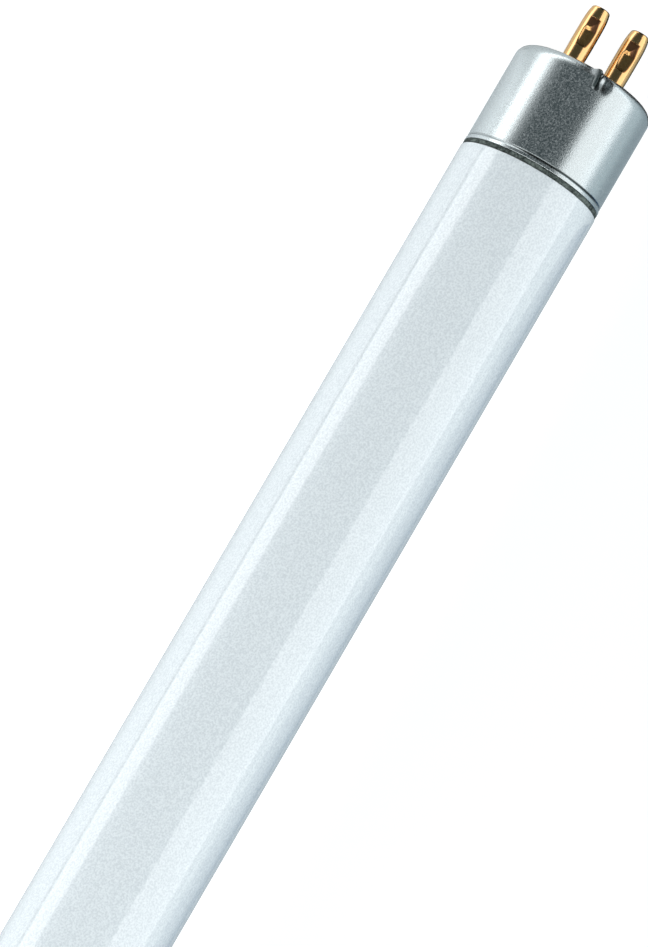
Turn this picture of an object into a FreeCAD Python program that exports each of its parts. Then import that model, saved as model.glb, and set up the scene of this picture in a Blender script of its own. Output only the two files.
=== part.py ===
import FreeCAD, Part
import math
import os

from FreeCAD import Vector

# Miniature fluorescent lamp: a straight glass tube with a two-pin cap on each end.
# Sizes are millimetres. The lamp lies along X with its middle at the origin, the pins of
# both caps lie in the XY plane, and end a is the one at +X.

# Whole lamp
lamp_length = 288.0            # from the end face of one cap to that of the other

# Glass tube: sealed, coated inside, and narrowed to a neck under each cap
glass_diameter = 15.5
glass_edge = 0.12              # softened edge where the full diameter steps in to the neck
neck_start = 5.0               # from the cap's face to the end of the glass

# Cap shell: drawn from aluminium sheet, with a bead at its rim
cap_setback = 0.1              # skirt of the cap, below the surface of the glass
cap_sheet = 0.3
cap_length = 11.66             # from the end face to the rim
cap_shoulder_radius = 1.3
face_lip = 0.45                # flat of the end face, round its opening
bead_height = 0.44
bead_stand_out = 0.06
groove_height = 0.2            # crease above the bead
groove_depth = 0.06

# Stakes: punch marks on the shoulder that keep the plate from turning in the shell
stake_count = 2
stake_inset = 1.3              # from the end face
stake_punch_radius = 1.0
stake_depth = 0.45

# Pin plate: moulded insulating disc
plate_thickness = 1.8
land_recess = 0.1              # middle of the plate, below the end face
land_clearance = 0.05          # round the middle, inside the face opening

# Contact pins: hollow brass, swaged behind the plate and crimped on their wires
pin_spacing = 4.75
pin_length = 7.0               # above the end face
pin_diameter = 2.36
pin_taper_start = 4.6          # above the end face
pin_tip_diameter = 1.95
pin_tip_chamfer = 0.35
pin_neck_diameter = 2.0        # where the pin passes through the plate
pin_head_diameter = 3.4
pin_head_thickness = 0.5
crimp_depth = 0.2
crimp_foot = 2.45              # heights above the end face
crimp_deepest = 5.0
crimp_top = 5.65

# Lead wires, from the end of the glass to the pins
wire_diameter = 0.5
wire_inset = 0.5               # from the pin's tip to the end of the wire

# Basing cement between the neck and the shell, which shows below the rim
cement_thickness = 0.5
cement_start = 6.2             # from the end face
cement_band = 0.54             # height that shows between the rim and the glass
cement_band_recess = 0.06      # below the surface of the glass

# Values that follow from the ones above
end_face = lamp_length / 2
glass_radius = glass_diameter / 2
cap_radius = glass_radius - cap_setback
cap_inner_radius = cap_radius - cap_sheet
bead_radius = cap_radius + bead_stand_out
shoulder_centre = cap_radius - cap_shoulder_radius
inner_corner = (2 - math.sqrt(2)) * (cap_shoulder_radius - cap_sheet)
opening_radius = shoulder_centre - face_lip
plate_back = cap_sheet + plate_thickness
neck_radius = cap_inner_radius - cement_thickness
glass_start = cap_length + cement_band
wire_radius = wire_diameter / 2
pin_radius = pin_diameter / 2
pin_bore_radius = wire_radius + crimp_depth
pin_wall = pin_radius - pin_bore_radius
half_turn = 180


def at(inward, radius):
    """Point of a turned outline: so far in from the end face, so far from the axis."""
    return Vector(end_face - inward, radius, 0)


def on_circle(centre, radius, degrees):
    """Point on a circle, with 0 degrees inward along the lamp and 90 away from its axis."""
    angle = math.radians(degrees)
    return (centre[0] + radius * math.cos(angle), centre[1] + radius * math.sin(angle))


def turned(start, *steps):
    """Solid turned about the lamp's axis from a closed outline.

    Each step is one point for a straight run, or two for an arc through the first."""
    edges = []
    here = at(*start)
    for step in list(steps) + [(start,)]:
        points = [at(*point) for point in step]
        if len(points) == 2:
            edges.append(Part.Arc(here, points[0], points[1]).toShape())
        else:
            edges.append(Part.makeLine(here, points[0]))
        here = points[-1]
    face = Part.Face(Part.Wire(edges))
    return face.revolve(Vector(0, 0, 0), Vector(1, 0, 0), 360)


def at_other_end(shape):
    """The same piece on the other end of the lamp."""
    turned_round = shape.copy()
    turned_round.rotate(Vector(0, 0, 0), Vector(0, 0, 1), half_turn)
    return turned_round


def turned_about_lamp(shape, degrees):
    copy = shape.copy()
    copy.rotate(Vector(0, 0, 0), Vector(1, 0, 0), degrees)
    return copy


def glass_tube():
    """Sealed tube with a neck at each end. Its coating hides the inside, so it is solid here."""
    near_end = [(neck_start, 0), (neck_start, neck_radius), (glass_start, neck_radius),
                (glass_start, glass_radius - glass_edge), (glass_start + glass_edge, glass_radius)]
    far_end = [(lamp_length - inward, radius) for inward, radius in reversed(near_end)]
    points = near_end + far_end
    return turned(points[0], *[(point,) for point in points[1:]])


def shell_inside():
    """Space inside the shell, with the opening in its end face."""
    return turned(
        (-cap_shoulder_radius, 0),
        ((-cap_shoulder_radius, opening_radius),),
        ((cap_sheet, opening_radius),),
        ((cap_sheet, cap_inner_radius - inner_corner),),
        ((cap_sheet + inner_corner, cap_inner_radius),),
        ((cap_length, cap_inner_radius),),
        ((cap_length, 0),),
    )


def shell_sheet():
    """Shell as drawn, before it is staked: end face, shoulder, skirt, crease and bead."""
    centre = (cap_shoulder_radius, shoulder_centre)
    bead_start = cap_length - bead_height
    outer = turned(
        (0, 0),
        ((0, shoulder_centre),),
        (on_circle(centre, cap_shoulder_radius, 135), (cap_shoulder_radius, cap_radius)),
        ((bead_start - groove_height, cap_radius),),
        ((bead_start - groove_height / 2, cap_radius - groove_depth),),
        ((bead_start + bead_height / 2, bead_radius),),
        ((cap_length, cap_radius),),
        ((cap_length, 0),),
    )
    return outer.cut(shell_inside())


def stake_ball(radius):
    """Ball on the punch's centre, over the shoulder at the top of the lamp."""
    distance = cap_radius + stake_punch_radius - stake_depth
    return Part.makeSphere(radius, Vector(end_face - stake_inset, 0, distance))


def round_the_cap(shape):
    """One copy of a stake's tool for each stake."""
    return [turned_about_lamp(shape, 360 / stake_count * i) for i in range(stake_count)]


def cap_shell():
    """Shell with its stakes: each is punched in from outside and bulges in to the plate."""
    bulge = stake_ball(stake_punch_radius + cap_sheet).common(shell_inside())
    shell = shell_sheet().fuse(round_the_cap(bulge))
    return shell.cut(round_the_cap(stake_ball(stake_punch_radius))).removeSplitter()


def pin_places():
    return (pin_spacing / 2, -pin_spacing / 2)


def pin_plate():
    """Insulating plate: its rim seats in the shell's shoulder, with the stakes in its edge."""
    land_radius = opening_radius - land_clearance
    plate = turned(
        (land_recess, 0),
        ((land_recess, land_radius),),
        ((cap_sheet, land_radius),),
        ((cap_sheet, cap_inner_radius - inner_corner),),
        ((cap_sheet + inner_corner, cap_inner_radius),),
        ((plate_back, cap_inner_radius),),
        ((plate_back, 0),),
    )
    holes = [Part.makeCylinder(pin_neck_diameter / 2, plate_back, Vector(end_face, y, 0), Vector(-1, 0, 0))
             for y in pin_places()]
    return plate.cut(holes + round_the_cap(stake_ball(stake_punch_radius + cap_sheet)))


def crimp_curve(depth_below):
    """Bar across the pin that is pressed in to a depth, deepest near the tip's end."""
    reach = crimp_deepest - crimp_foot
    bar_radius = reach ** 2 / (2 * crimp_depth) + crimp_depth / 2
    centre = Vector(end_face + crimp_deepest, -pin_diameter, pin_radius - crimp_depth + bar_radius)
    return Part.makeCylinder(bar_radius + depth_below, 2 * pin_diameter, centre, Vector(0, 1, 0))


def crimp_slab(top):
    """Stretch of the pin, up to a height, that the crimping jaw covers."""
    width = 2 * pin_diameter
    return Part.makeBox(top, width, width, Vector(end_face, -width / 2, 0))


def plain_pin():
    """Pin as turned, on the lamp's axis: swaged head, neck, shank, taper and tip."""
    head_back = plate_back + pin_head_thickness
    tip_radius = pin_tip_diameter / 2
    return turned(
        (head_back, pin_bore_radius),
        ((head_back, pin_head_diameter / 2),),
        ((plate_back, pin_head_diameter / 2),),
        ((plate_back, pin_neck_diameter / 2),),
        ((land_recess, pin_neck_diameter / 2),),
        ((land_recess, pin_radius),),
        ((-pin_taper_start, pin_radius),),
        ((pin_tip_chamfer - pin_length, tip_radius),),
        ((-pin_length, tip_radius - pin_tip_chamfer),),
        ((-pin_length, pin_bore_radius),),
    )


def contact_pin():
    """Pin on the lamp's axis, crimped on both flat sides so that its wall closes on the wire."""
    bore = Part.makeCylinder(pin_bore_radius, crimp_top + pin_bore_radius,
                             Vector(end_face, 0, 0), Vector(1, 0, 0))
    wall_in = crimp_curve(pin_wall).common(crimp_slab(crimp_top + crimp_depth)).common(bore)
    dent = crimp_curve(0).common(crimp_slab(crimp_top))
    pin = plain_pin().fuse([wall_in, turned_about_lamp(wall_in, half_turn)])
    return pin.cut([dent, turned_about_lamp(dent, half_turn)]).removeSplitter()


def lead_wire(y):
    """Wire from the end of the glass to just inside the pin's tip."""
    length = neck_start + pin_length - wire_inset
    return Part.makeCylinder(wire_radius, length, Vector(end_face - neck_start, y, 0), Vector(1, 0, 0))


def cap_cement():
    """Ring of cement on the neck: it fills the shell's rim and shows as a band below it."""
    band_radius = glass_radius - cement_band_recess
    return turned(
        (cement_start, neck_radius),
        ((cement_start, cap_inner_radius),),
        ((cap_length, cap_inner_radius),),
        ((cap_length, band_radius),),
        ((glass_start, band_radius),),
        ((glass_start, neck_radius),),
    )


def write(name, shape):
    solids = shape.Solids
    solid = solids[0] if len(solids) == 1 else Part.makeCompound(solids)
    solid.exportStep(os.path.join("parts", name + ".step"))
    print("%-16s solids %d  volume %9.2f mm3  valid %s" % (name, len(solids), shape.Volume, shape.isValid()))


def main():
    os.makedirs("parts", exist_ok=True)
    write("glass_tube", glass_tube())
    end_pieces = {"cap_shell": cap_shell(), "pin_plate": pin_plate(), "cap_cement": cap_cement()}
    plain = contact_pin()
    for number, y in enumerate(pin_places(), start=1):
        pin = plain.copy()
        pin.translate(Vector(0, y, 0))
        end_pieces["contact_pin_%d" % number] = pin
        end_pieces["lead_wire_%d" % number] = lead_wire(y)
    for name, shape in end_pieces.items():
        write(name + "_a", shape)
        write(name + "_b", at_other_end(shape))


main()
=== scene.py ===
import bpy
import numpy as np
from mathutils import Matrix, Vector


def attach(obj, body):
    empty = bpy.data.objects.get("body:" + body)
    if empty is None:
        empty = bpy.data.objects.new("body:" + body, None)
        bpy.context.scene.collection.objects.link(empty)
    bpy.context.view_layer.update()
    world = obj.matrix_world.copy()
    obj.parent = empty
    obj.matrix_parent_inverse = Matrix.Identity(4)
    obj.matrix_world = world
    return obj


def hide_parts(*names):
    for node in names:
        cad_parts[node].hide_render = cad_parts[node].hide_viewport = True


# A straight miniature fluorescent lamp, lying along X with its middle at the origin. End a, with
# its pins towards +X, is the one that the camera sees. The lamp's sizes are in millimetres, as in
# the part's source, and "inward" is the distance from an end face towards the middle.

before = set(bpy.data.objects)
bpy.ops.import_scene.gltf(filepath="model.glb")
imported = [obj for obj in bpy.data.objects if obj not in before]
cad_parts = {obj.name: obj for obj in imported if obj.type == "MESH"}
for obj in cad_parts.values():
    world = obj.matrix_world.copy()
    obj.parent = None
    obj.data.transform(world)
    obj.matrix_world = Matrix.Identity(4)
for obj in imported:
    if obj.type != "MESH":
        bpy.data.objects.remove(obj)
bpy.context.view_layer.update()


# Glass tube. Drawn soda-lime glass with a bluish-white powder baked on inside, so it looks like
# white porcelain under clear gloss. The flame narrows both ends to a neck, which the cap covers,
# and softens the step up to the full diameter.

MM = 0.001
LAMP_LENGTH = 288.0          # between the end faces of the two caps
END_FACE = LAMP_LENGTH / 2
GLASS_RADIUS = 7.75
GLASS_START = 12.2           # inward, where the full diameter begins
STEP_ROUND = 0.12
NECK_RADIUS = 6.85
NECK_START = 5.0             # inward
NECK_ROUND = 0.6
FIRST_RING = 0.5             # radius of the ring of corners next to the axis
TUBE_RINGS = 60
TUBE_COLUMN = 1.5            # degrees from one column of corners to the next

POWDER_GREY = (0.685, 0.750, 0.785)
POWDER_WHITE = (0.84, 0.905, 0.935)


def arc(centre, radius, start, end, count):
    """Points of a circle's arc: centre + radius (cos, sin) of angles from start to end, in degrees."""
    angle = np.radians(np.linspace(start, end, count))
    return np.column_stack([centre[0] + radius * np.cos(angle), centre[1] + radius * np.sin(angle)])


def straight(start, end, count):
    """Points of a straight run: start + u (end - start), with u in even steps from 0 to 1."""
    return np.linspace(start, end, count)


def along(*stretches):
    """One profile from several stretches, single points or lists of points, end to end."""
    return np.vstack([np.atleast_2d(stretch) for stretch in stretches])


def turned_grid(profile, angles):
    """Points of a turned surface: (end face - inward, r cos a, r sin a), with angles a in degrees.

    The profile is a list of (inward, r), or a grid of them with a profile for each angle."""
    a = np.radians(angles)
    if profile.ndim == 2:
        profile = profile[:, None]
    inward, radius = np.moveaxis(np.broadcast_to(profile, (len(profile), len(a), 2)), -1, 0)
    return np.stack([END_FACE - inward, radius * np.cos(a), radius * np.sin(a)], axis=-1)


def at_other_end(grid):
    """The same grid on the other end of the lamp: half a turn about Z, so x and y change sign."""
    return grid * np.array([-1.0, -1.0, 1.0])


def mesh_from_grid(name, points, closed_profile):
    """Piece from a grid of points: row i of the profile, column j round the axis.

    Corner (i, j) joins (i, j+1), (i+1, j+1) and (i+1, j) as one face, the last column joins
    the first, and so does the last row where the profile is closed. Where it is open, its
    two ends lie round the axis, and each closes in one corner at its middle."""
    rows, columns = points.shape[:2]
    index = np.arange(rows * columns).reshape(rows, columns)
    corners = points.reshape(-1, 3)
    if closed_profile:
        index = np.vstack([index, index[:1]])
    beside = np.roll(index, -1, axis=1)
    quads = np.stack([index[:-1], beside[:-1], beside[1:], index[1:]], axis=-1)
    faces = quads.reshape(-1, 4).tolist()
    if not closed_profile:
        first, last = rows * columns, rows * columns + 1
        corners = np.vstack([corners, points[0].mean(0), points[-1].mean(0)])
        faces += np.column_stack([np.full(columns, first), beside[0], index[0]]).tolist()
        faces += np.column_stack([np.full(columns, last), index[-1], beside[-1]]).tolist()
    mesh = bpy.data.meshes.new(name)
    mesh.from_pydata((corners * MM).tolist(), [], faces)
    mesh.polygons.foreach_set("use_smooth", np.ones(len(faces), bool))
    piece = bpy.data.objects.new(name, mesh)
    bpy.context.scene.collection.objects.link(piece)
    return piece


class Value:
    """A number, colour or vector inside a material, on the socket that gives it.

    Python's + - * and abs() on it, also with a plain number on either side, add Math nodes."""

    def __init__(self, tree, socket=None):
        self.tree = tree
        self.socket = socket

    def node(self, kind, settings, sockets, output):
        """The named output of a new node of a kind.

        Its settings are set first, a ramp's stops as (position, colour) pairs. Then each of its
        sockets, found by name or by place, gets a plain value or a link to another Value."""
        node = self.tree.nodes.new(kind)
        for name, setting in settings.items():
            if name == "stops":
                Value.place_stops(node.color_ramp.elements, setting)
            else:
                setattr(node, name, setting)
        for key, value in sockets.items():
            socket = Value.find(node.inputs, key)
            if isinstance(value, Value):
                self.tree.links.new(value.socket, socket)
            else:
                socket.default_value = value
        return Value(self.tree, Value.find(node.outputs, output))

    @staticmethod
    def find(sockets, key):
        """The socket at a place, or the one in use that has a name."""
        if isinstance(key, int):
            return sockets[key]
        return next(socket for socket in sockets if socket.name == key and socket.enabled)

    @staticmethod
    def place_stops(elements, stops):
        """Give a ramp its stops: new elements between its two ends, then all places and colours."""
        for middle_stop in stops[1:-1]:
            elements.new(middle_stop[0])
        for element, (position, colour) in zip(elements, stops):
            element.position = position
            element.color = (*colour, 1)

    def feeds(self, node, name):
        """Link this value to a socket of a node that is there already."""
        self.tree.links.new(self.socket, node.inputs[name])

    def math(self, operation, *numbers):
        """Result of a Math node on one or two numbers."""
        return self.node("ShaderNodeMath", {"operation": operation}, dict(enumerate(numbers)), "Value")

    def __add__(self, other):
        return self.math("ADD", self, other)

    def __radd__(self, other):
        return self.math("ADD", other, self)

    def __sub__(self, other):
        return self.math("SUBTRACT", self, other)

    def __rsub__(self, other):
        return self.math("SUBTRACT", other, self)

    def __mul__(self, other):
        return self.math("MULTIPLY", self, other)

    def __rmul__(self, other):
        return self.math("MULTIPLY", other, self)

    def __abs__(self):
        return self.math("ABSOLUTE", self)


def finish_named(name, **shader_values):
    """New material with plain values on its shader. Returns it, the shader and Object coordinates."""
    material = bpy.data.materials.new(name)
    material.use_nodes = True
    shader = material.node_tree.nodes["Principled BSDF"]
    for socket, value in shader_values.items():
        shader.inputs[socket.replace("_", " ")].default_value = value
    place = Value(material.node_tree).node("ShaderNodeTexCoord", {}, {}, "Object")
    return material, shader, place


def speckle(place, size, detail, rough=0.5):
    """Noise between 0 and 1, whose lumps are about size across, in millimetres."""
    sockets = {"Vector": place, "Scale": 1 / (size * MM), "Detail": detail, "Roughness": rough}
    return place.node("ShaderNodeTexNoise", {}, sockets, "Fac")


def stray(noise, contrast):
    """How far a noise strays from its middle, times a contrast."""
    return (noise - 0.5) * contrast


def blend(factor, one, other):
    """Colour one where the factor is 0, the other where it is 1, and a mix of them between."""
    one, other = [colour if isinstance(colour, Value) else (*colour, 1) for colour in (one, other)]
    sockets = {"Factor": factor, "A": one, "B": other}
    return factor.node("ShaderNodeMix", {"data_type": "RGBA"}, sockets, "Result")


def bump(height, depth, strength):
    """Normal of a surface that a height of 0 to 1 lifts by a depth in millimetres."""
    sockets = {"Height": height, "Strength": strength, "Distance": depth * MM}
    return height.node("ShaderNodeBump", {}, sockets, "Normal")


neck_end = along(
    (NECK_START, FIRST_RING),
    (NECK_START, NECK_RADIUS - NECK_ROUND),
    arc((NECK_START + NECK_ROUND, NECK_RADIUS - NECK_ROUND), NECK_ROUND, start=165, end=90, count=6),
    (GLASS_START, NECK_RADIUS),
    (GLASS_START, GLASS_RADIUS - 2 * STEP_ROUND),
    arc((GLASS_START + STEP_ROUND, GLASS_RADIUS - STEP_ROUND), STEP_ROUND, start=180, end=90, count=7),
)
body_start = GLASS_START + 1
body = straight((body_start, GLASS_RADIUS), (LAMP_LENGTH - body_start, GLASS_RADIUS), TUBE_RINGS)
far_end = neck_end[::-1] * [-1, 1] + [LAMP_LENGTH, 0]
tube_profile = along(neck_end, body, far_end)[::-1]
tube_grid = turned_grid(tube_profile, np.arange(0, 360, TUBE_COLUMN))
tube = mesh_from_grid("coated_tube", tube_grid, closed_profile=False)

# Powder grains, and broad clouds where the coating ran thicker. The drawn glass waves a little.
coating, shader, place = finish_named(
    "coated_glass", Roughness=0.07, IOR=1.5, Coat_Weight=1.0, Coat_Roughness=0.03, Coat_IOR=1.5)
grains = stray(speckle(place, size=0.2, detail=2), contrast=3.6)
clouds = stray(speckle(place, size=9.0, detail=2), contrast=0.3)
blend(grains + clouds + 0.5, POWDER_GREY, POWDER_WHITE).feeds(shader, "Base Color")
bump(speckle(place, size=5.0, detail=1), depth=0.012, strength=0.25).feeds(shader, "Normal")
tube.data.materials.append(coating)
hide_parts("glass_tube")
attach(tube, "root")


# Basing cement. A ring of baked cement on each neck fills the rim of the cap, and a narrow dark
# band of it shows between the rim and the glass. It goes on as a paste, so it is matt and uneven.

CEMENT_START = 6.2           # inward
CAP_LENGTH = 11.66
CAP_RADIUS = 7.65
CAP_SHEET = 0.3
CAP_INNER_RADIUS = CAP_RADIUS - CAP_SHEET
BAND_RADIUS = 7.69
BAND_EDGE = 0.05             # rounding of the band's edges
HAIR = 0.01                  # gap that keeps two touching surfaces apart
CEMENT_COLUMN = 0.75         # degrees

CEMENT_DARK = (0.006, 0.014, 0.012)
CEMENT_PALE = (0.145, 0.18, 0.165)

ring_inside = NECK_RADIUS + HAIR
ring_outside = CAP_INNER_RADIUS - HAIR
band_outside = BAND_RADIUS - HAIR
band_foot = GLASS_START - HAIR
band_rim = CAP_LENGTH + HAIR
ring_profile = along(
    (CEMENT_START, ring_outside),
    (CEMENT_START, ring_inside),
    (band_foot, ring_inside),
    (band_foot, band_outside - BAND_EDGE),
    arc((band_foot - BAND_EDGE, band_outside - BAND_EDGE), BAND_EDGE, start=0, end=90, count=4),
    straight((GLASS_START - 2 * BAND_EDGE, band_outside), (band_rim + BAND_EDGE, band_outside), 6),
    (band_rim, BAND_RADIUS - BAND_EDGE),
    (band_rim, ring_outside),
)
ring_grid = turned_grid(ring_profile, np.arange(0, 360, CEMENT_COLUMN))

# The paste is mottled, and painted shade darkens it where the band meets the rim on one side and the glass
# on the other: across_band runs from 0 at the rim to 1 at the glass, and middle is 4 u (1 - u) of it.
cement, shader, place = finish_named("basing_cement", Roughness=0.8)
grain = speckle(place, size=0.25, detail=3)
patches = speckle(place, size=1.8, detail=2)
from_middle = abs(place.node("ShaderNodeSeparateXYZ", {}, {"Vector": place}, "X"))
across_band = ((END_FACE - CAP_LENGTH) * MM - from_middle) * (1 / ((GLASS_START - CAP_LENGTH) * MM))
middle = across_band * (1 - across_band) * 4
mottle = stray(grain, contrast=2.6) + stray(patches, contrast=3.4) + 0.45
# Painted shade: the band is darker towards both of its edges.
blend(mottle * (middle * 0.7 + 0.3), CEMENT_DARK, CEMENT_PALE).feeds(shader, "Base Color")
bump(grain, depth=0.05, strength=0.6).feeds(shader, "Normal")
for end, grid in (("a", ring_grid), ("b", at_other_end(ring_grid))):
    ring = mesh_from_grid("cement_ring_" + end, grid, closed_profile=True)
    ring.data.materials.append(cement)
    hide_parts("cap_cement_" + end)
    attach(ring, "root")


# Cap shell. Drawn from thin aluminium sheet: a flat lip round the open face, a rounded shoulder, a
# straight skirt, and at the rim a crease and a rolled bead. Two punch marks on the shoulder, above
# and below the pins, lock the plate in it, and each has thrown up a burr on one side.

SHOULDER_ROUND = 1.3
SHOULDER_CENTRE = CAP_RADIUS - SHOULDER_ROUND
OPENING_RADIUS = 5.9
LIP_ROUND = 0.06             # edge of the opening
LIP_ROWS = 4
INNER_ROUND = 0.6            # inside of the shoulder
RIM_EDGE = 0.02              # of the cut edge at the rim

BEAD_RISE = (11.20, 11.36)   # inward, where the step up to the bead begins and ends
BEAD_CREST = 0.055
CREASE_PLACE = 11.12         # inward
CREASE_DEPTH = 0.06
CREASE_WIDTH = 0.10
# Width of the crease's painted shade, and where round the lamp it is darkest.
CREASE_SHADE_WIDTH = 0.13
CREASE_DARKEST = 102        # degrees round the lamp, from +Y towards +Z

# Rows and columns of corners lie close at the bead and at the stakes, and wide between them.
BEAD_ROWS_END = 10.8         # inward
STAKE_ROWS_START = 3.5       # inward
STAKE_PLACES = (90, 270)     # degrees round the lamp, from +Y towards +Z
STAKE_REACH = (-18, 12)      # degrees from a stake to the last close column on each side

# A punch mark, in millimetres across from the stake's middle, which is negative on the burr's
# side, and down from the edge of the end face. A pair is across and down, or the start and the
# end of a soft edge.
MARK_END = (3.0, 3.4)        # inward, where the mark fades out
BOWL_DEPTH = 0.40
BOWL_MIDDLE = (0.30, 1.85)
BOWL_SIZE = (0.58, 0.72)
TRENCH_DEPTH = 0.20
TRENCH_WIDTH = 0.26
TRENCH_TOP = -0.56           # across, level with the end face
TRENCH_SLANT = 0.06
TRENCH_START = (0.2, 0.9)
TRENCH_END = (2.5, 3.1)
BURR_HEIGHT = 0.29
BURR_FOOT = -1.30            # across, level with the end face
BURR_SPREAD = 0.30           # how much further out the foot lies a millimetre down
BURR_SLOPE = 0.70
BURR_INNER_SIDE = (-0.55, -0.05)
BURR_START = (-0.5, -0.1)
BURR_END = (0.5, 1.5)
CUT_ACROSS = (-0.3, 0.2)     # of the step that cuts off the burr, from the trench's line
CUT_DOWN = (0.3, 0.9)
BULGE_DEPTH = 0.45
BULGE_PLACE = 1.3            # inward
BULGE_SIZE = (0.75, 0.8)

SHEET_GREY = (0.52, 0.57, 0.58)
SHEET_BRIGHT = (0.70, 0.75, 0.76)
# Colour of the painted shade in the crease and the punch marks.
PAINTED_SHADE = (0.035, 0.045, 0.045)


def ease(values, start, end):
    """Smooth step: 0 before start, 1 after end, and 3u^2 - 2u^3 of the way u between them."""
    u = np.clip((values - start) / (end - start), 0, 1)
    return u * u * (3 - 2 * u)


def between(values, start, end):
    """Stretch with soft ends: a smooth step up over the start pair, and down over the end pair."""
    return ease(values, *start) * (1 - ease(values, *end))


def bell(distance, width, power=2):
    """Bell curve exp(-(distance / width) ^ power), flatter at the top and steeper with power 4."""
    return np.exp(-(distance / width) ** power)


def skirt_radius(inward):
    """Radius of the skirt: its own, less a bell curve for the crease, plus a smooth step for the bead."""
    crease = CREASE_DEPTH * bell(inward - CREASE_PLACE, CREASE_WIDTH)
    return CAP_RADIUS - crease + BEAD_CREST * ease(inward, *BEAD_RISE)


# Rows a few hundredths of a millimetre off a corner keep its edge crisp under smooth shading.
bead_rows = np.linspace(CAP_LENGTH - RIM_EDGE, BEAD_ROWS_END, num=56)
wide_rows = np.linspace(BEAD_ROWS_END - 0.1, STAKE_ROWS_START, num=20)
skirt_rows = np.concatenate([bead_rows, wide_rows])
outer_skin = along(
    (CAP_LENGTH, CAP_INNER_RADIUS + 0.1),
    (CAP_LENGTH, CAP_RADIUS - 0.03),
    (CAP_LENGTH, CAP_RADIUS + BEAD_CREST - RIM_EDGE),
    np.column_stack([skirt_rows, skirt_radius(skirt_rows)]),
    straight((STAKE_ROWS_START - 0.05, CAP_RADIUS), (SHOULDER_ROUND + 0.03, CAP_RADIUS), count=54),
    arc((SHOULDER_ROUND, SHOULDER_CENTRE), SHOULDER_ROUND, start=90, end=180, count=64),
    straight((0, SHOULDER_CENTRE - 0.1), (0, SHOULDER_CENTRE - 0.3), count=3),
    (0, OPENING_RADIUS + LIP_ROUND + 0.02),
    arc((LIP_ROUND, OPENING_RADIUS + LIP_ROUND), LIP_ROUND, start=180, end=270, count=LIP_ROWS),
)
inner_corner = (CAP_SHEET + INNER_ROUND, CAP_INNER_RADIUS - INNER_ROUND)
inner_skin = along(
    (CAP_SHEET, OPENING_RADIUS),
    straight((CAP_SHEET, OPENING_RADIUS + 0.3), (CAP_SHEET, CAP_INNER_RADIUS - INNER_ROUND), count=3),
    arc(inner_corner, INNER_ROUND, start=180, end=90, count=6)[1:],
    straight((1.1, CAP_INNER_RADIUS), (STAKE_ROWS_START - 0.1, CAP_INNER_RADIUS), count=14),
    (CAP_LENGTH - 0.05, CAP_INNER_RADIUS),
)
close_columns = np.linspace(*STAKE_REACH, num=130)
wide_columns = np.linspace(STAKE_REACH[1], STAKE_REACH[0] + 180, num=66)[1:-1]
shell_angles = np.concatenate([
    stake + columns for stake in STAKE_PLACES for columns in (close_columns, wide_columns)])


def trench_line(down):
    """Middle of the trench: it starts beside the burr and leans to the bowl, in a straight line."""
    return TRENCH_TOP + TRENCH_SLANT * down


def stake_height(across, down):
    """Height of the sheet's surface round a punch mark.

    It is a burr less a bowl less a trench. The bowl is a bell curve both ways, and the trench a
    bell curve across its line, with soft ends. The burr has soft sides and ends, a foot that
    spreads further down, and a steep step that cuts it off at the trench."""
    bowl = bell(across - BOWL_MIDDLE[0], BOWL_SIZE[0]) * bell(down - BOWL_MIDDLE[1], BOWL_SIZE[1])
    line = trench_line(down)
    trench = bell(across - line, TRENCH_WIDTH) * between(down, TRENCH_START, TRENCH_END)
    foot = BURR_FOOT - BURR_SPREAD * ease(down, 0, 1.0)
    sides = between(across, (foot, foot + BURR_SLOPE), BURR_INNER_SIDE)
    burr = sides * between(down, BURR_START, BURR_END)
    cut_off = ease(across - line, *CUT_ACROSS) * ease(down, *CUT_DOWN)
    return BURR_HEIGHT * burr * (1 - cut_off) - BOWL_DEPTH * bowl - TRENCH_DEPTH * trench


def stake_bulge(across, inward):
    """How far the sheet's inside sinks towards the plate: a bell curve both ways."""
    return BULGE_DEPTH * bell(across, BULGE_SIZE[0]) * bell(inward - BULGE_PLACE, BULGE_SIZE[1])


def stake_painted_shade(across, down):
    """How dark the painted shade is in the folds of a mark.

    It is the most of three flat-topped bells: the groove along the trench, and three quarters
    of the hollow at the bowl's lower end and of the brow above the bowl."""
    beside = across - trench_line(down)
    groove = bell(beside + 0.08, width=0.42, power=4) * between(down, start=(0.1, 0.7), end=(2.6, 3.2))
    hollow = bell(across - 0.10, width=0.90, power=4) * bell(down - 2.38, width=0.55, power=4)
    brow = bell(across - 0.15, width=0.42, power=4) * between(down, start=(0.1, 0.5), end=(1.15, 1.45))
    return np.maximum(groove, 0.75 * np.maximum(hollow, brow))


def stake_scuff(across, down):
    """How scuffed the sheet is where the punch slid off beside the burr: a flat-topped bell both ways."""
    return bell(across + 1.15, width=0.50, power=4) * bell(down - 1.05, width=0.60, power=4)


def over_both_stakes(shape, down):
    """Grid of a shape at both stakes: a function of the distances across and down, each on its half."""
    total = 0
    for stake in STAKE_PLACES:
        turned = (shell_angles - stake + 180) % 360 - 180
        total = total + shape(np.radians(turned) * CAP_RADIUS, down) * (np.abs(turned) < 90)
    return total


# Down is the length of the outer skin's profile, counted from its first row on the flat end face.
face_row = np.argmax(outer_skin[:, 1] < SHOULDER_CENTRE)
step = np.diff(outer_skin, axis=0, append=outer_skin[-1:])
to_opening = np.cumsum(np.hypot(*step.T)[::-1])[::-1, None]
down = to_opening - to_opening[face_row]

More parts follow.
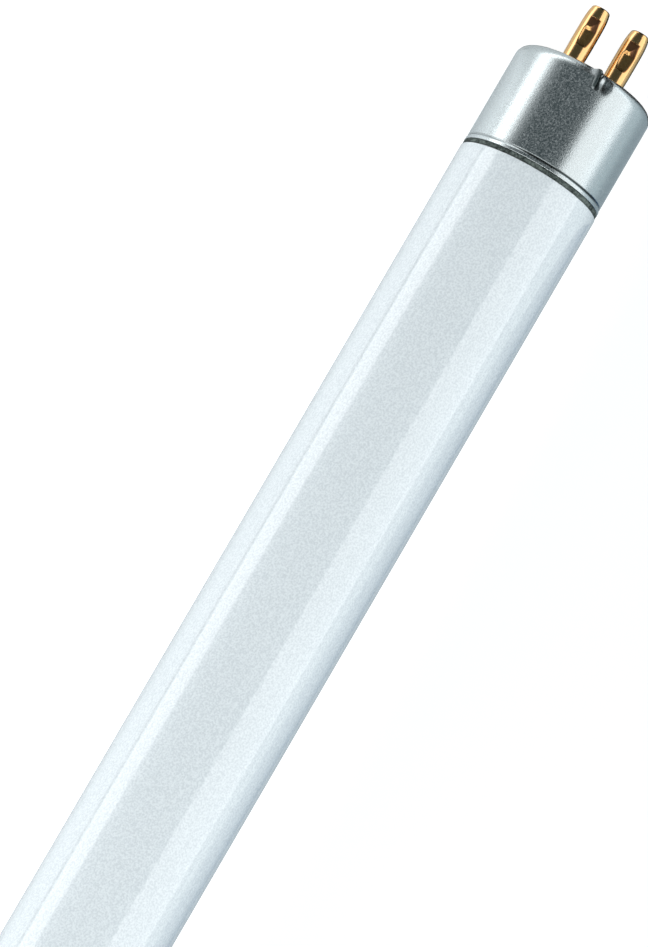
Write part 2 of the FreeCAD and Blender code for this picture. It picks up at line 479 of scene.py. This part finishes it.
# The outer skin moves along its own normal: away from the shoulder's centre, or square to the flat
# face and to the skirt. The lip and the skirt past the stakes stay as drawn.
outward = outer_skin - (SHOULDER_ROUND, SHOULDER_CENTRE)
outward[face_row:] = (-1, 0)
outward[outer_skin[:, 0] > SHOULDER_ROUND] = (0, 1)
outward /= np.linalg.norm(outward, axis=1, keepdims=True)
height = over_both_stakes(stake_height, down) * (1 - ease(outer_skin[:, :1], *MARK_END))
height[-LIP_ROWS:] = 0
outer_grid = turned_grid(outer_skin[:, None] + outward[:, None] * height[..., None], shell_angles)
inner_grid = turned_grid(inner_skin, shell_angles)
inner_grid[..., 2] -= np.sign(inner_grid[..., 2]) * over_both_stakes(stake_bulge, inner_skin[:, :1])
shell_grid = np.concatenate([outer_grid, inner_grid])

# Painted shade also darkens the crease: in full within 32 degrees of its darkest place, and less than half
# as much from 49 degrees on. The inside gets no painted shade.
from_darkest = np.cos(np.radians(shell_angles - CREASE_DARKEST))
crease_side = 0.4 + 0.6 * ease(from_darkest, 0.65, 0.85)
crease_painted_shade = bell(outer_skin[:, :1] - CREASE_PLACE, CREASE_SHADE_WIDTH, power=4) * crease_side
unshaded_inside = np.zeros(inner_grid.shape[:2])
outer_painted_shade = np.clip(over_both_stakes(stake_painted_shade, down) + crease_painted_shade, 0, 1)
dark_lines = np.vstack([outer_painted_shade, unshaded_inside])
scuffed = np.vstack([over_both_stakes(stake_scuff, down), unshaded_inside])


def paint(piece, name, values):
    """Write a grid of values on the corners of a piece, for its material to read."""
    layer = piece.data.attributes.new(name, "FLOAT", "POINT")
    layer.data.foreach_set("value", values.reshape(-1))


def painted(place, name):
    """The values that paint wrote, inside a material."""
    return place.node("ShaderNodeAttribute", {"attribute_name": name}, {}, "Fac")


# Satin sheet: grain in its colour, its gloss and how metallic it is, because oxide dulls it in
# spots. Scuffed sheet is duller and rougher.
aluminium, shader, place = finish_named("satin_aluminium", IOR=1.5)
sheet_grain = speckle(place, size=0.2, detail=3, rough=0.7)
rolled_grain = speckle(place, size=0.13, detail=2, rough=0.6)
oxide = stray(speckle(place, size=0.17, detail=2), contrast=1.0)
rubbed = painted(place, "scuffed")
bare = blend(sheet_grain, SHEET_GREY, SHEET_BRIGHT)
# Painted shade in the crease and in the folds of the punch marks darkens the bare sheet.
blend(painted(place, "dark_lines"), bare, PAINTED_SHADE).feeds(shader, "Base Color")
(0.90 + oxide - rubbed * 0.65).feeds(shader, "Metallic")
(0.15 + sheet_grain * 0.14 + rubbed * 0.3).feeds(shader, "Roughness")
bump(rolled_grain, depth=0.03, strength=0.42).feeds(shader, "Normal")
for end, grid in (("a", shell_grid), ("b", at_other_end(shell_grid))):
    shell = mesh_from_grid("drawn_cap_" + end, grid, closed_profile=True)
    paint(shell, "dark_lines", dark_lines)
    paint(shell, "scuffed", scuffed)
    shell.data.materials.append(aluminium)
    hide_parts("cap_shell_" + end)
    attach(shell, "root")


# Pin plate. A dark phenolic disc, pressed from powder, that carries the two pins. Its rim seats in
# the shoulder of the shell, and its middle fills the opening in the end face.

PHENOLIC_DARK = (0.030, 0.024, 0.020)
PHENOLIC_BROWN = (0.060, 0.048, 0.040)


def dress(node_name, material):
    """Give a piece of the part's own solids its material."""
    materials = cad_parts[node_name].data.materials
    materials.clear()
    materials.append(material)


phenolic, shader, place = finish_named("moulded_phenolic", IOR=1.5)
flecks = speckle(place, size=0.3, detail=4, rough=0.65)
blend(flecks, PHENOLIC_DARK, PHENOLIC_BROWN).feeds(shader, "Base Color")
(0.38 + flecks * 0.2).feeds(shader, "Roughness")
bump(flecks, depth=0.02, strength=0.4).feeds(shader, "Normal")
for end in "ab":
    dress("pin_plate_" + end, phenolic)


# Contact pins. Hollow turned brass, bright and a little bellied, with a rounded tip. After the wire
# is threaded in, a jaw presses a spoon-shaped mark into each flat side, deepest near the tip, and
# flux and heat leave the mark dark brown.

PIN_SPACING = 4.75
PIN_PLACES = (PIN_SPACING / 2, -PIN_SPACING / 2)
PIN_LENGTH = 7.0              # above the end face, as all heights here are
PIN_FOOT_RADIUS = 1.15
PIN_BELLY_RADIUS = 1.21
PIN_BELLY = 3.2
PIN_TAPER = 0.27
TIP_ROUND = 0.3
PIN_BORE = 0.45
BORE_EDGE = 0.05
PIN_NECK_RADIUS = 0.99        # through the plate
PLATE_LAND = 0.12             # inward, the plate's front
PLATE_BACK = 2.12             # inward
HEAD_RADIUS = 1.7             # of the swaged head behind the plate
HEAD_THICKNESS = 0.48
HEAD_EDGE = 0.1
PIN_COLUMN = 1.25             # degrees

CRIMP_FOOT = 2.4
CRIMP_DEEPEST = 4.25
CRIMP_TOP = 5.68
CRIMP_DEPTH = 0.30
CRIMP_RUN_IN = 1.6            # from the foot to the full depth
CRIMP_RUN_IN_POWER = 0.6
CRIMP_STEP = 0.18             # how far the face falls back past its deepest place
CRIMP_STEP_LENGTH = 0.36      # of that step, on its short side
CRIMP_STEP_EXTRA = 0.6        # longer on its other side
CRIMP_CURLS = (1.0, 0.4)      # of the face's two sides
CRIMP_LEAN = 13.0             # degrees that the jaws stand off square
SOFT_EDGE = 0.05              # of the mark
OUTSIDE = 0.6                 # radius past which a corner is on the pin's outside
BROWN_RIM = (0.05, 0.06)      # how far below the sharp edge its middle lies, and its width
BROWN_FROM = (4.66, 4.86)     # where the mark's brown upper part begins
BROWN_SLANT = 0.6             # how much lower it begins on one side

BRASS = (0.97, 0.59, 0.26)
BRASS_DULL = (0.95, 0.55, 0.22)
BRASS_BROWN = (0.66, 0.32, 0.11)
RUST_BROWN = (0.40, 0.18, 0.08)
RUST_DARK = (0.33, 0.16, 0.09)

# Rows of corners up the shank, closest where the mark ends.
tip_start = PIN_LENGTH - TIP_ROUND
shank_rows = np.unique(np.concatenate([
    np.linspace(-0.1, 2.2, num=14),
    np.linspace(2.2, 5.4, num=86),
    np.linspace(5.4, 5.8, num=34),
    np.linspace(5.8, tip_start, num=10),
]))


def pin_radius(height):
    """Radius of the shank: up a quarter sine to the belly, then down as the fifth power of the way on."""
    swell = np.sin(np.clip(height / PIN_BELLY, 0, 1) * np.pi / 2)
    taper = PIN_TAPER * np.clip((height - PIN_BELLY) / (PIN_LENGTH - PIN_BELLY), 0, 1) ** 5
    return PIN_FOOT_RADIUS + (PIN_BELLY_RADIUS - PIN_FOOT_RADIUS) * swell - taper


pin_profile = along(
    (PLATE_BACK + HEAD_THICKNESS, PIN_BORE),
    (PLATE_BACK + HEAD_THICKNESS, HEAD_RADIUS - HEAD_EDGE),
    (PLATE_BACK + HEAD_THICKNESS - HEAD_EDGE, HEAD_RADIUS),
    (PLATE_BACK, HEAD_RADIUS),
    (PLATE_BACK, PIN_NECK_RADIUS),
    (PLATE_LAND, PIN_NECK_RADIUS),
    (PLATE_LAND, PIN_FOOT_RADIUS - BORE_EDGE),
    np.column_stack([-shank_rows, pin_radius(shank_rows)]),
    arc((-tip_start, pin_radius(tip_start) - TIP_ROUND), TIP_ROUND, start=90, end=180, count=12)[1:],
    (-PIN_LENGTH, PIN_BORE + BORE_EDGE + HAIR),
    (-PIN_LENGTH + BORE_EDGE, PIN_BORE),
)
plain_pin = turned_grid(pin_profile, np.arange(0, 360, PIN_COLUMN))


def crimped(grid):
    """Pin on the lamp's axis with a mark pressed in on both flat sides. Also returns how brown it is.

    The jaw's face lies at the pin's radius less a depth. The depth grows as a power of a sine
    from the foot, and falls back in a step that is shorter on one side. The face curls up as
    the fourth power of the distance beside its middle, less on one side. The surface z is
    lowered to that face f with a soft edge e: z' = (z + f - sqrt((z - f)^2 + e^2)) / 2.
    Brown is a line round the mark, a bell curve in the height above the face, and the mark's
    upper part, and the rest of the mark is a little worn."""
    lean = np.radians(CRIMP_LEAN)
    jaw_across = np.array([0, np.cos(lean), -np.sin(lean)])
    jaw_up = np.array([0, np.sin(lean), np.cos(lean)])
    height = grid[..., 0] - END_FACE
    side = np.sign(grid @ jaw_up)
    rise = (grid @ jaw_up) * side
    beside = (grid @ jaw_across) * side

    run_in = np.sin(np.pi / 2 * np.clip((height - CRIMP_FOOT) / CRIMP_RUN_IN, 0, 1)) ** CRIMP_RUN_IN_POWER
    step_length = CRIMP_STEP_LENGTH + CRIMP_STEP_EXTRA * ease(-beside, -0.15, 0.45)
    fall_back = CRIMP_STEP * np.clip((height - CRIMP_DEEPEST) / step_length, 0, 1)
    depth = CRIMP_DEPTH * run_in - fall_back
    outside = np.hypot(grid[..., 1], grid[..., 2]) > OUTSIDE
    jaw = outside & (depth > 0) & (height > CRIMP_FOOT) & (height < CRIMP_TOP)

    curl = np.where(beside > 0, *CRIMP_CURLS) * beside ** 4
    above_face = rise - (pin_radius(height) - depth + curl)
    lowering = (above_face + np.sqrt(above_face ** 2 + SOFT_EDGE ** 2)) / 2
    pressed = np.where(jaw, lowering, 0)
    moved = grid - (side * pressed)[..., None] * jaw_up

    rim = np.where(jaw, 0.85 * bell(above_face + BROWN_RIM[0], BROWN_RIM[1]), 0)
    slanted = height + BROWN_SLANT * ease(-beside, -0.05, 0.3)
    upper = 0.9 * ease(slanted, *BROWN_FROM) * (pressed > 0.02)
    worn = 0.3 * ease(pressed, 0.05, 0.1)
    return moved, np.maximum(np.maximum(rim, upper), worn)


def shades(factor, stops):
    """Colour from a ramp of (position, colour) stops."""
    return factor.node("ShaderNodeValToRGB", {"stops": stops}, {"Fac": factor}, "Color")


pin_grid, browned = crimped(plain_pin)

# Bright brass that turns brown and then dark rust with tarnish, which lies unevenly and is rough.
brass, shader, place = finish_named("bright_brass", Metallic=1.0, IOR=1.5)
stain = painted(place, "browned")
tarnish = stain + stray(speckle(place, size=0.25, detail=3), contrast=0.45)
stops = [(0.0, BRASS), (0.2, BRASS_DULL), (0.45, BRASS_BROWN), (0.8, RUST_BROWN), (1.0, RUST_DARK)]
shades(tarnish, stops).feeds(shader, "Base Color")
(0.13 + speckle(place, size=0.5, detail=2) * 0.10 + stain * 0.22).feeds(shader, "Roughness")
bump(speckle(place, size=0.3, detail=2), depth=0.006, strength=0.45).feeds(shader, "Normal")
for number, y in enumerate(PIN_PLACES, start=1):
    grid_a = pin_grid + np.array([0.0, y, 0.0])
    for end, grid in (("a", grid_a), ("b", at_other_end(grid_a))):
        pin = mesh_from_grid("brass_pin_%d_%s" % (number, end), grid, closed_profile=True)
        paint(pin, "browned", browned)
        pin.data.materials.append(brass)
        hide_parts("contact_pin_%d_%s" % (number, end))
        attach(pin, "root")


# Lead wires. Plain nickel-iron wire from the end of the glass into the pins, where the crimps hold
# it. Only the cut ends show, just inside the tips.

NICKEL_IRON = (0.55, 0.53, 0.50, 1)

wire_metal, shader, place = finish_named("nickel_iron", Base_Color=NICKEL_IRON, Metallic=1.0)
(0.3 + speckle(place, size=0.1, detail=2) * 0.2).feeds(shader, "Roughness")
for node_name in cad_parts:
    if node_name.startswith("lead_wire"):
        dress(node_name, wire_metal)


# Camera. A long lens looks down on end a from above and a little from the middle of the lamp, so
# that the lamp runs up the frame to the right. From here on, places and sizes are in metres.

VIEW_TILT = 11.6              # degrees off square to the lamp, towards its middle
VIEW_ROLL = 10.5              # degrees round the lamp from straight above, towards +Y
AXIS_IN_FRAME = 30.25         # degrees between the lamp and the frame's upright
FRAME_SIZE = (648, 947)       # pixels
PIXELS_PER_MM = 9.93
SEAM_PIXEL = (527.69, 182.75)  # middle of the seam between cap and glass
CAMERA_DISTANCE = 3.0
SENSOR = 36.0                 # mm, along the frame's longer side

tilt, roll, slant = np.radians([VIEW_TILT, VIEW_ROLL, AXIS_IN_FRAME])
lamp_axis = np.array([1.0, 0.0, 0.0])
to_camera = np.array([-np.sin(tilt), np.cos(tilt) * np.sin(roll), np.cos(tilt) * np.cos(roll)])
axis_seen = lamp_axis - (lamp_axis @ to_camera) * to_camera
axis_seen /= np.linalg.norm(axis_seen)
across_seen = np.cross(axis_seen, to_camera)
right = np.sin(slant) * axis_seen + np.cos(slant) * across_seen
up = np.cos(slant) * axis_seen - np.sin(slant) * across_seen

seam = (END_FACE - GLASS_START) * lamp_axis
from_seam = (np.array(FRAME_SIZE) / 2 - SEAM_PIXEL) / PIXELS_PER_MM
target = (seam + from_seam[0] * right - from_seam[1] * up) * MM


def placed(middle, *axes):
    """Matrix of a thing at a place, with its own X, Y and Z along three directions."""
    return Matrix.Translation(Vector(middle)) @ Matrix(np.column_stack(axes).tolist()).to_4x4()


camera_data = bpy.data.cameras.new("camera")
camera_data.sensor_fit = "AUTO"
camera_data.sensor_width = SENSOR
camera_data.lens = SENSOR * CAMERA_DISTANCE / (FRAME_SIZE[1] / PIXELS_PER_MM * MM)
camera = bpy.data.objects.new("camera", camera_data)
camera.matrix_world = placed(target + CAMERA_DISTANCE * to_camera, right, up, to_camera)
bpy.context.scene.collection.objects.link(camera)
bpy.context.scene.camera = camera


# Lights. A long soft strip runs along each side of the lamp, and their edges show as straight
# steps in the gloss of the glass. A square soft light stands high up beyond the lamp's far end.

LEFT_FOOT = np.array([0.0, 0.0649, -0.0065])
LEFT_TOP = np.array([0.0, 0.0704, 0.0219])
LEFT_LENGTH = 0.7


def area_light(name, middle, away, size, radiance):
    """Rectangular light at a place, that shines against the direction away from the lamp.

    Its first side lies along the lamp, or as near to that as it can. Watts = pi x area x radiance."""
    light_data = bpy.data.lights.new(name, "AREA")
    light_data.shape = "RECTANGLE"
    light_data.size, light_data.size_y = size
    light_data.energy = np.pi * size[0] * size[1] * radiance
    side = lamp_axis - (lamp_axis @ away) * away
    side /= np.linalg.norm(side)
    light = bpy.data.objects.new(name, light_data)
    light.matrix_world = placed(middle, side, np.cross(away, side), away)
    light.visible_camera = False
    bpy.context.scene.collection.objects.link(light)


def light_from(azimuth, lengthwise, distance):
    """Place of a light and the direction to it from the lamp's middle.

    Azimuth turns round the lamp from the view's up, positive to the frame's right, and
    lengthwise leans towards +X, both in degrees."""
    turn, lean = np.radians([azimuth, lengthwise])
    view_up = np.array([0.0, np.sin(roll), np.cos(roll)])
    round_lamp = np.sin(turn) * np.cross(lamp_axis, view_up) + np.cos(turn) * view_up
    away = np.cos(lean) * round_lamp + np.sin(lean) * lamp_axis
    return away * distance, away


area_light(
    "strip_right", *light_from(azimuth=58.6, lengthwise=0, distance=0.30), size=(1.6, 0.30), radiance=1.26)
area_light(
    "end_light", *light_from(azimuth=-10.0, lengthwise=-50, distance=0.60), size=(0.8, 0.8), radiance=2.5)

# The left strip stands on the table close to the lamp, so the lamp sees it down to the table.
left_height = np.linalg.norm(LEFT_TOP - LEFT_FOOT)
left_middle = (LEFT_FOOT + LEFT_TOP) / 2
left_away = np.cross(lamp_axis, (LEFT_FOOT - LEFT_TOP) / left_height)
area_light("strip_left", left_middle, left_away, size=(LEFT_LENGTH, left_height), radiance=1.34)


# Table. A sheet that the lamp lies on, pale on the lamp's left and grey on its right as painted shade,
# which gives the lamp's underside a light and a dark side. It glows for the camera, which sees it white,
# and less in metal and gloss, which mirror it darker, as they do in a studio with dark walls.

TABLE_HALF = 2.0
TABLE_LEVEL = -GLASS_RADIUS * MM
SHEET_RIGHT_SHADE = (0.22, 0.27, 0.30)
SHEET_LEFT = (0.80, 0.81, 0.82)
GLOW_NEAR = (0.78, 0.765, 0.75)  # near the lamp, where the lights also fall on the sheet
WHITE = (1.0, 1.0, 1.0)
BLACK = (0.0, 0.0, 0.0)
MIRROR_SPAN = 0.2             # width of the stretch across the lamp that the mirrored shades cover
MIRRORED = [                  # position 0 at its right end and 1 at its left
    (0.2, (0.28, 0.33, 0.34)),
    (0.36, (0.08, 0.10, 0.11)),
    (0.54, (0.13, 0.15, 0.16)),
    (0.64, (0.38, 0.40, 0.41)),
]


def rectangle(first, second):
    """Corners of a rectangle, from its ends along two directions."""
    return [(first[0], second[0]), (first[1], second[0]), (first[1], second[1]), (first[0], second[1])]


def flat_piece(name, corners):
    """One flat face through its corners."""
    mesh = bpy.data.meshes.new(name)
    mesh.from_pydata(corners, [], [tuple(range(len(corners)))])
    piece = bpy.data.objects.new(name, mesh)
    bpy.context.scene.collection.objects.link(piece)
    return piece


def step_up(value, start, end, kind="SMOOTHSTEP"):
    """Smooth step of a value inside a material: 0 before start, 1 after end."""
    sockets = {"Value": value, "From Min": start, "From Max": end}
    return value.node("ShaderNodeMapRange", {"interpolation_type": kind}, sockets, "Result")


def ray_is(value, *kinds):
    """1 for a ray of one of the kinds, such as Camera, and 0 for any other."""
    rays = [value.node("ShaderNodeLightPath", {}, {}, "Is %s Ray" % kind) for kind in kinds]
    return sum(rays[1:], rays[0])


table = flat_piece("table", [
    (x, y, TABLE_LEVEL) for x, y in rectangle((-TABLE_HALF, TABLE_HALF), (-TABLE_HALF, TABLE_HALF))])
sheet, shader, place = finish_named("white_sheet", Roughness=0.9, Emission_Strength=1.0)
leftward = place.node("ShaderNodeSeparateXYZ", {}, {"Vector": place}, "Y")
from_lamp = place.node("ShaderNodeVectorMath", {"operation": "LENGTH"}, {"Vector": place}, "Value")
# Painted shade: the sheet turns grey on the lamp's right.
blend(step_up(leftward, -0.02, 0.02), SHEET_RIGHT_SHADE, SHEET_LEFT).feeds(shader, "Base Color")
glow = blend(step_up(from_lamp, 0.3, 1.2), GLOW_NEAR, WHITE)
direct = blend(ray_is(place, "Camera", "Transmission"), BLACK, glow)
mirrored = shades(leftward * (1 / MIRROR_SPAN) + 0.5, MIRRORED)
blend(ray_is(place, "Glossy"), direct, mirrored).feeds(shader, "Emission Color")
table.data.materials.append(sheet)


# Cards. Painted boards for reflections only: a flag beyond the pins, and pieces of card laid on
# the table beside the cap and the tube. The camera and the soft light pass through them.

CARD_LEVEL = TABLE_LEVEL + 0.0002
FLAG_PLACE = 0.4
FLAG_TOP = 0.25
CARD_BLACK = (0.01, 0.01, 0.01)
CARD_WHITE = (0.9, 0.93, 0.94)
CARD_LIGHT = (0.8, 0.83, 0.84)
CARD_BLUE = (0.002, 0.07, 0.16)
CARD_GREY = (0.3, 0.3, 0.3)


def studio_card(name, corners, colour):
    """Board that only reflections show."""
    board = flat_piece(name, corners)
    board.visible_camera = board.visible_diffuse = board.visible_shadow = board.visible_transmission = False
    paint_coat = finish_named(name, Base_Color=(*colour, 1), Roughness=0.9, Specular_IOR_Level=0.0)[0]
    board.data.materials.append(paint_coat)


def laid_card(name, outline, colour):
    """Card on the table, from the (x, y) corners of its outline."""
    studio_card(name, [(x, y, CARD_LEVEL) for x, y in outline], colour)


studio_card("black_flag", [
    (FLAG_PLACE, y, z) for y, z in rectangle((-0.09, 0.10), (TABLE_LEVEL, FLAG_TOP))], CARD_BLACK)

# The cap's shoulder mirrors the table in front of it: black by the pins, white further right and
# pale on the left.
laid_card("black_card", [
    (0.1455, -0.001), (0.1455, -0.013), (0.165, -0.020), (0.19, -0.036),
    (0.19, -0.011), (0.4, -0.03), (0.4, 0.03), (0.150, 0.0005)], CARD_BLACK)
laid_card("white_card", [(0.191, -0.0115), (0.191, -0.05), (0.5, -0.6), (0.5, -0.04)], CARD_WHITE)
laid_card("light_card", [
    (0.1455, 0.001), (0.150, 0.0025), (0.4, 0.032), (0.4, 0.10), (0.1455, 0.05)], CARD_LIGHT)

# The right edge of the tube mirrors the blue card. The grey one is the thin line along its left.
laid_card("blue_card", [
    (-0.13, -0.0165), (0.134, -0.0165), (0.1365, -0.035), (0.138, -0.068),
    (0.138, -0.2), (-0.13, -0.2)], CARD_BLUE)
laid_card("grey_card", rectangle((-0.35, 0.35), (0.044, 0.057)), CARD_GREY)


# Room. A pale horizon, a little darker and bluer on the lamp's right, under a dark ceiling. The
# camera sees white in its place, so that the lamp stands on a white ground.

HORIZON_RIGHT = (0.62, 0.72, 0.77)
HORIZON_LEFT = (0.88, 0.90, 0.91)
CEILING = (0.056, 0.074, 0.079)

world = bpy.data.worlds.new("studio")
bpy.context.scene.world = world
world.use_nodes = True
sky = Value(world.node_tree).node("ShaderNodeTexCoord", {}, {}, "Generated")
leftward = sky.node("ShaderNodeSeparateXYZ", {}, {"Vector": sky}, "Y")
upward = sky.node("ShaderNodeSeparateXYZ", {}, {"Vector": sky}, "Z")
horizon = blend(step_up(leftward, -0.5, 0.5), HORIZON_RIGHT, HORIZON_LEFT)
room = blend(step_up(upward, 0.0, 0.62, "SMOOTHERSTEP"), horizon, CEILING)
background = world.node_tree.nodes["Background"]
blend(ray_is(sky, "Camera", "Transmission"), room, WHITE).feeds(background, "Color")

bpy.context.scene.view_settings.view_transform = "Standard"
